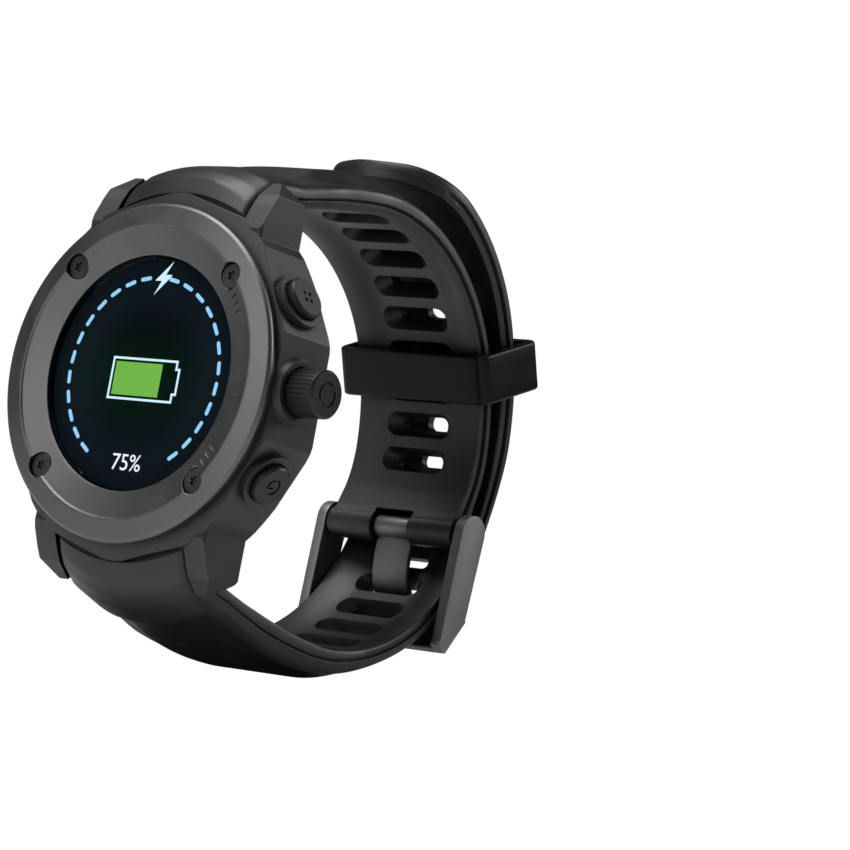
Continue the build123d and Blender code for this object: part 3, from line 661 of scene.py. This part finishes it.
# ---------------------------------------------------------------- strap keeper
def keeper():
    """Soft rubber loop with rounded corners and slightly swollen walls."""
    pivot, angle = (26.0, 2.9), math.radians(23.2)
    middle, half_r, half_x, half_a, wall = 30.85, 7.15, 14.1, 3.75, 1.3

    def loop(width, height, corner):
        points = []
        for cx, cr, first in ((1, 1, 0), (-1, 1, 90), (-1, -1, 180), (1, -1, 270)):
            for step in range(13):
                a = math.radians(first + step * 7.5)
                points.append((cx * (width - corner) + corner * math.cos(a),
                               cr * (height - corner) + corner * math.sin(a)))
        dense = []
        for i, p in enumerate(points):
            q = points[(i + 1) % len(points)]
            parts = 10 if math.dist(p, q) > 3 else 1
            dense += [mid(p, q, k / parts) for k in range(parts)]
        return dense

    outer, inner = loop(half_x, half_r, 1.7), loop(half_x - wall, half_r - wall, 0.9)
    profile = []
    for turn in range(0, 91, 15):
        a = math.radians(turn)
        profile.append((1 - 0.34 * (1 - math.sin(a)), -half_a + 0.45 * (1 - math.cos(a))))
    profile += [(1.0, -1.7), (1.0, 0.0), (1.0, 1.7)]
    for turn in range(90, -1, -15):
        a = math.radians(turn)
        profile.append((1 - 0.34 * (1 - math.sin(a)), half_a - 0.45 * (1 - math.cos(a))))
    profile += [(0.15, half_a), (0.0, half_a - 0.2), (0.0, 0.0), (0.0, -half_a + 0.2), (0.15, -half_a)]
    verts, faces = [], []
    for i in range(len(outer)):
        for t, along in profile:
            x, r = mid(inner[i], outer[i], t)
            r += middle
            verts.append((x, pivot[0] + r * math.cos(angle) - along * math.sin(angle),
                          pivot[1] + r * math.sin(angle) + along * math.cos(angle)))
    n, m = len(outer), len(profile)
    for i in range(n):
        for k in range(m):
            a, b = (i + 1) % n, (k + 1) % m
            faces.append((i * m + k, i * m + b, a * m + b, a * m + k))
    return put(made("keeper_loop", verts, faces, 50), "keeper", "keeper_rubber", "strap_keeper")


keeper()


# ---------------------------------------------------------------- buckle
def rounded(points, radius, steps=6):
    """Outline with every corner turned into an arc."""
    result = []
    n = len(points)
    for i, p in enumerate(points):
        before, after = points[i - 1], points[(i + 1) % n]
        reach = min(radius, math.dist(p, before) * 0.45, math.dist(p, after) * 0.45)
        a = mid(p, before, reach / math.dist(p, before))
        b = mid(p, after, reach / math.dist(p, after))
        for k in range(steps + 1):
            share = k / steps
            result.append(mid(mid(a, p, share), mid(p, b, share), share))
    return result


def softened(obj, width, angle=28):
    """Rounds the sharp edges of a hard piece."""
    work = bmesh.new()
    work.from_mesh(obj.data)
    bmesh.ops.remove_doubles(work, verts=work.verts, dist=0.00001)
    bmesh.ops.dissolve_limit(work, angle_limit=math.radians(1.5), verts=work.verts, edges=work.edges)
    work.to_mesh(obj.data)
    work.free()
    mod = obj.modifiers.new("soft", "BEVEL")
    mod.width = width * MM
    mod.segments = 3
    mod.limit_method = "ANGLE"
    mod.angle_limit = math.radians(angle)
    mod.harden_normals = False
    return apply(obj, 40)


def buckle():
    """Two arms with round heads, joined by the crossbar outside the strap."""
    top, low, depth = (2.65, -12.5), (-1.4, -18.3), 1.25
    arm_inside, arm_outside, bar_half, head_r = 12.4, 14.06, 13.2, 2.8
    length = math.dist(top, low)
    u = ((low[0] - top[0]) / length, (low[1] - top[1]) / length)
    inner_top = (top[0] + depth * u[1], top[1] - depth * u[0])
    inner_low = (low[0] + depth * u[1], low[1] - depth * u[0])
    head = [(0.6 + head_r * math.cos(math.radians(a)), 0.2 + head_r * math.sin(math.radians(a)))
            for a in range(0, 181, 12)]
    arm = from_pin(head + rounded([(-3.3, -16.9), low, top], 0.5)[0:21])
    piece = None
    for side in (1, -1):
        low_x, high_x = sorted((side * arm_inside, side * arm_outside))
        part = combined("arm", [prism(arm, low_x, high_x)])
        piece = part if piece is None else boolean(piece, part, "UNION")
    plate = rounded(from_pin([top, low, inner_low, inner_top]), 0.45)
    boolean(piece, combined("plate", [prism(plate, -bar_half, bar_half)]), "UNION")
    softened(piece, 0.22)
    piece.name = "buckle_arms_and_bar"
    return put(piece, "buckle", "buckle_metal", "buckle_frame")


def tongue():
    """Smoothly bent tongue with a round knuckle on the pin."""
    half, knuckle_r = 3.3, 1.7
    slot = LOWER.point(TONGUE_SLOT, lower_hollow(TONGUE_SLOT))
    turn = math.radians(LOWER.heading(TONGUE_SLOT))
    along_y, along_z = math.cos(turn), math.sin(turn)

    def place(point):
        along, away = point
        return slot[0] + along * along_y + away * along_z, slot[1] + along * along_z - away * along_y

    wrist = [(2.95, -2.95), (1.3, -1.5), (0.3, -0.3), (-0.3, 0.9), (-0.75, 2.1), (-1.15, 3.0), (-1.6, 3.7)]
    away = [(-1.1, 4.8), (-0.3, 3.8), (0.45, 2.5), (0.9, 1.4), (1.25, 0.3), (2.3, -1.2), (4.0, -2.4)]
    end = rounded([place((-1.6, 3.7)), place((-6.0, 3.7)), place((-5.7, 4.8)), place((-1.1, 4.8))], 0.5)[7:21]
    outline = [place(p) for p in wrist] + end + [place(p) for p in away]
    outline += from_pin([(1.3, -0.8), (-0.2, -1.3)])
    piece = combined("buckle_tongue_plate", [prism(outline, -half, half)])
    boolean(piece, combined("knuckle", [rod(knuckle_r, -half, half, PIN_Y, PIN_Z)]), "UNION")
    softened(piece, 0.25, 40)
    return put(piece, "tongue", "buckle_metal", "buckle_tongue")


buckle()
tongue()


# ---------------------------------------------------------------- display artwork
FRONT_Y, REAR_Y = -10.99, -10.94
NUMBER_Y, NUMBER_Z = -10.965, -12.6
DASH_RING_R = 13.7
GLASS_OPENING_R = 16.45


def artwork(name, outlines, mat):
    """Flat lit shapes just in front of the display; each outline is a list of x, z points."""
    verts, faces = [], []
    for outline in outlines:
        n, base = len(outline), len(verts)
        verts += [(x, FRONT_Y, z) for x, z in outline] + [(x, REAR_Y, z) for x, z in outline]
        faces.append(tuple(base + i for i in range(n)))
        faces.append(tuple(base + n + i for i in reversed(range(n))))
        faces += [(base + i, base + (i + 1) % n, base + n + (i + 1) % n, base + n + i) for i in range(n)]
    obj = made(name, verts, faces)
    obj.data.materials.append(mat)
    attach(obj, "watch")
    return obj


def dash(angle, radius, length, width):
    """Round-ended dash that lies along a circle."""
    a = math.radians(angle)
    cx, cz = radius * math.sin(a), radius * math.cos(a)
    points = []
    for end, first in ((1, -90), (-1, 90)):
        for step in range(7):
            b = math.radians(first + step * 30)
            u = end * (length - width) / 2 + width / 2 * math.cos(b)
            v = width / 2 * math.sin(b)
            points.append((cx + u * math.cos(a) + v * math.sin(a), cz - u * math.sin(a) + v * math.cos(a)))
    return points


def strips(points, width):
    """Closed line of constant width as separate overlapping bars."""
    bars = []
    for p, q in zip(points, points[1:] + points[:1]):
        length = math.dist(p, q)
        u = ((q[0] - p[0]) / length, (q[1] - p[1]) / length)
        v = (-u[1] * width / 2, u[0] * width / 2)
        p = (p[0] - u[0] * width / 2, p[1] - u[1] * width / 2)
        q = (q[0] + u[0] * width / 2, q[1] + u[1] * width / 2)
        bars.append([(p[0] + v[0], p[1] + v[1]), (q[0] + v[0], q[1] + v[1]),
                     (q[0] - v[0], q[1] - v[1]), (p[0] - v[0], p[1] - v[1])])
    return bars


mask = surface("display_mask", (0.0025, 0.0028, 0.0036), 0.22, grain=3, grain_depth=0.0005,
               mottle=0.4, edge=0.0, specular=0.15)


def add_glow(m):
    """Faint light that spills onto the black display round the dashes and the battery."""
    t = m.node_tree
    place = t.nodes.new("ShaderNodeTexCoord")
    axes = t.nodes.new("ShaderNodeSeparateXYZ")
    link(t, place, "Object", axes, "Vector")

    def calc(operation, a, b=0.0):
        node = t.nodes.new("ShaderNodeMath")
        node.operation = operation
        for socket, value in zip(node.inputs, (a, b)):
            if isinstance(value, (int, float)):
                socket.default_value = value
            else:
                t.links.new(value, socket)
        return node.outputs[0]

    def fading(distance, reach):
        share = calc("DIVIDE", distance, reach)
        return calc("POWER", 2.718, calc("MULTIPLY", calc("MULTIPLY", share, share), -1.0))

    def tinted(level, colour):
        node = t.nodes.new("ShaderNodeVectorMath")
        node.operation = "SCALE"
        node.inputs[0].default_value = colour
        t.links.new(level, node.inputs["Scale"])
        return node.outputs[0]

    x = calc("MULTIPLY", axes.outputs["X"], PER_METRE)
    z = calc("MULTIPLY", axes.outputs["Z"], PER_METRE)
    radius = calc("SQRT", calc("ADD", calc("MULTIPLY", x, x), calc("MULTIPLY", z, z)))
    ring_radius, ring_reach = 12.5, 5.0
    battery_left, battery_down, battery_stretch, battery_reach = 0.9, 0.75, 1.6, 5.6
    ring = fading(calc("SUBTRACT", radius, ring_radius), ring_reach)
    across = calc("DIVIDE", calc("ADD", x, battery_left), battery_stretch)
    upward = calc("ADD", z, battery_down)
    spread = calc("ADD", calc("MULTIPLY", across, across), calc("MULTIPLY", upward, upward))
    battery = fading(calc("SQRT", spread), battery_reach)
    both = t.nodes.new("ShaderNodeVectorMath")
    t.links.new(tinted(ring, (0.0045, 0.0085, 0.013)), both.inputs[0])
    t.links.new(tinted(battery, (0.002, 0.013, 0.006)), both.inputs[1])
    b = t.nodes["Principled BSDF"]
    t.links.new(both.outputs[0], b.inputs["Emission Color"])
    b.inputs["Emission Strength"].default_value = 1.0


add_glow(mask)
backing = made("display_mask_disc", *loft(drum(GLASS_OPENING_R, -10.935, -10.915)))
backing.data.materials.append(mask)
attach(backing, "watch")

blue = glowing("display_blue", (0.30, 0.68, 1.0), 1.0)
pale = glowing("display_pale", (0.62, 0.86, 1.0), 1.1)
green = glowing("display_green", (0.16, 0.50, 0.045), 0.95)
artwork("display_dashes", [dash(side * (11 + 12 * k), DASH_RING_R, 1.95, 0.56)
                           for k in range(12) for side in (1, -1)], blue)
artwork("display_bolt", [[(1.9, 16.1), (-0.9, 13.3), (0.35, 13.3),
                          (-0.7, 11.3), (2.1, 14.2), (0.85, 14.2)]], pale)
artwork("display_battery_outline", strips([(-5.75, 2.1), (6.0, 2.1), (6.0, 1.0), (6.6, 1.0), (6.6, -2.5),
                                           (6.0, -2.5), (6.0, -3.6), (-5.75, -3.6)], 0.32), pale)
artwork("display_battery_level", [[(-5.2, 1.6), (3.4, 1.6), (3.4, -3.1), (-5.2, -3.1)]], green)

text = bpy.data.curves.new("display_number", "FONT")
text.body = "75%"
text.size = 3.3 * MM
text.align_x = "CENTER"
text.align_y = "CENTER"
text.extrude = 0.02 * MM
letters = bpy.data.objects.new("display_number", text)
bpy.context.scene.collection.objects.link(letters)
number_place = Matrix.Translation((0, NUMBER_Y * MM, NUMBER_Z * MM))
letters.matrix_world = number_place @ Matrix.Rotation(math.pi / 2, 4, "X")
bpy.context.view_layer.update()
graph = bpy.context.evaluated_depsgraph_get()
number_mesh = bpy.data.meshes.new_from_object(letters.evaluated_get(graph))
number_mesh.transform(letters.matrix_world)
bpy.data.objects.remove(letters)
number = bpy.data.objects.new("display_number_75", number_mesh)
bpy.context.scene.collection.objects.link(number)
number.data.materials.clear()
number.data.materials.append(glowing("display_white", (0.9, 0.95, 1.0), 1.0))
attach(number, "watch")


# ---------------------------------------------------------------- camera
RIGHT = Vector((0.78729387, 0.59109137, 0.17544047))
UP = Vector((-0.0694712, -0.1976877, 0.97780025))
BACK = Vector((0.61265171, -0.7820042, -0.11457449))
CAMERA_PLACE = (0.33706, -0.37677, -0.05720)
camera = bpy.data.objects.new("camera", bpy.data.cameras.new("camera"))
bpy.context.scene.collection.objects.link(camera)
turn = Matrix((RIGHT, UP, BACK)).transposed().to_4x4()
camera.matrix_world = Matrix.Translation(CAMERA_PLACE) @ turn
camera.data.sensor_width = 36
camera.data.lens = 152.613
camera.data.clip_start = 0.01
camera.data.clip_end = 20
bpy.context.scene.camera = camera


# ---------------------------------------------------------------- studio
def lamp(name, right, up, back, size, power, size_y=None):
    """Soft box placed by the camera's own directions and aimed at the watch."""
    data = bpy.data.lights.new(name, "AREA")
    data.shape = "RECTANGLE"
    data.size = size
    data.size_y = size_y or size
    data.energy = power
    obj = bpy.data.objects.new(name, data)
    bpy.context.scene.collection.objects.link(obj)
    aim = Vector((0, 0.02, 0))
    obj.location = aim + RIGHT * right + UP * up + BACK * back
    obj.rotation_mode = "QUATERNION"
    obj.rotation_quaternion = (obj.location - aim).to_track_quat("Z", "Y")
    return obj


lamp("key_left", -0.44, 0.32, 0.36, 0.38, 1.35)
lamp("top_box", -0.12, 0.62, 0.02, 0.45, 4.8)
lamp("rim_right", 0.60, 0.22, -0.15, 0.30, 1.7)
lamp("fill_front", 0.10, 0.05, 0.80, 0.60, 0.2)
lamp("low_left", -0.20, -0.58, 0.16, 0.35, 1.0)

world = bpy.data.worlds.new("studio")
bpy.context.scene.world = world
world.use_nodes = True
t = world.node_tree
back = t.nodes["Background"]
back.inputs["Color"].default_value = (0.92, 0.94, 1.0, 1)
back.inputs["Strength"].default_value = 0.04
white = t.nodes.new("ShaderNodeBackground")
white.inputs["Color"].default_value = (1, 1, 1, 1)
seen = t.nodes.new("ShaderNodeLightPath")
choose = t.nodes.new("ShaderNodeMixShader")
t.links.new(seen.outputs["Is Camera Ray"], choose.inputs[0])
t.links.new(back.outputs["Background"], choose.inputs[1])
t.links.new(white.outputs["Background"], choose.inputs[2])
t.links.new(choose.outputs["Shader"], t.nodes["World Output"].inputs["Surface"])
bpy.context.scene.view_settings.view_transform = "Standard"

low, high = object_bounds()
floor_z, floor_half = low.z / MM - 0.05, 2000
floor = made("floor", [(x * floor_half, y * floor_half, floor_z)
                       for x, y in ((-1, -1), (1, -1), (1, 1), (-1, 1))], [(0, 1, 2, 3)])
for polygon in floor.data.polygons:
    if polygon.normal.z < 0:
        floor.data.flip_normals()
        break
sheet = bpy.data.materials.new("floor_paper")
sheet.use_nodes = True
t = sheet.node_tree
paper = t.nodes["Principled BSDF"]
grain_map = t.nodes.new("ShaderNodeTexNoise")
grain_map.inputs["Scale"].default_value = 60
shade = t.nodes.new("ShaderNodeMapRange")
shade.inputs["To Min"].default_value = 0.80
shade.inputs["To Max"].default_value = 0.84
t.links.new(grain_map.outputs["Fac"], shade.inputs["Value"])
t.links.new(shade.outputs["Result"], paper.inputs["Base Color"])
paper.inputs["Roughness"].default_value = 0.8
spot = t.nodes.new("ShaderNodeTexCoord")
reach = t.nodes.new("ShaderNodeVectorMath")
reach.operation = "LENGTH"
link(t, spot, "Object", reach, "Vector")
far = t.nodes.new("ShaderNodeMapRange")
far.inputs["From Min"].default_value = 0.10
far.inputs["From Max"].default_value = 0.60
far.inputs["To Max"].default_value = 0.75
far.interpolation_type = "SMOOTHSTEP"
t.links.new(reach.outputs["Value"], far.inputs["Value"])
path = t.nodes.new("ShaderNodeLightPath")
pale_level = t.nodes.new("ShaderNodeMath")
pale_level.operation = "MULTIPLY"
t.links.new(far.outputs["Result"], pale_level.inputs[0])
t.links.new(path.outputs["Is Camera Ray"], pale_level.inputs[1])
paper.inputs["Emission Color"].default_value = (0.9, 0.9, 0.9, 1)
t.links.new(pale_level.outputs[0], paper.inputs["Emission Strength"])
under = t.nodes.new("ShaderNodeBsdfTransparent")
facing = t.nodes.new("ShaderNodeNewGeometry")
passing = t.nodes.new("ShaderNodeMath")
passing.operation = "MAXIMUM"
t.links.new(facing.outputs["Backfacing"], passing.inputs[0])
t.links.new(path.outputs["Is Shadow Ray"], passing.inputs[1])
one_side = t.nodes.new("ShaderNodeMixShader")
t.links.new(passing.outputs[0], one_side.inputs[0])
t.links.new(paper.outputs["BSDF"], one_side.inputs[1])
t.links.new(under.outputs["BSDF"], one_side.inputs[2])
t.links.new(one_side.outputs["Shader"], t.nodes["Material Output"].inputs["Surface"])
floor.data.materials.append(sheet)
floor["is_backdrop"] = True

low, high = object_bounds()
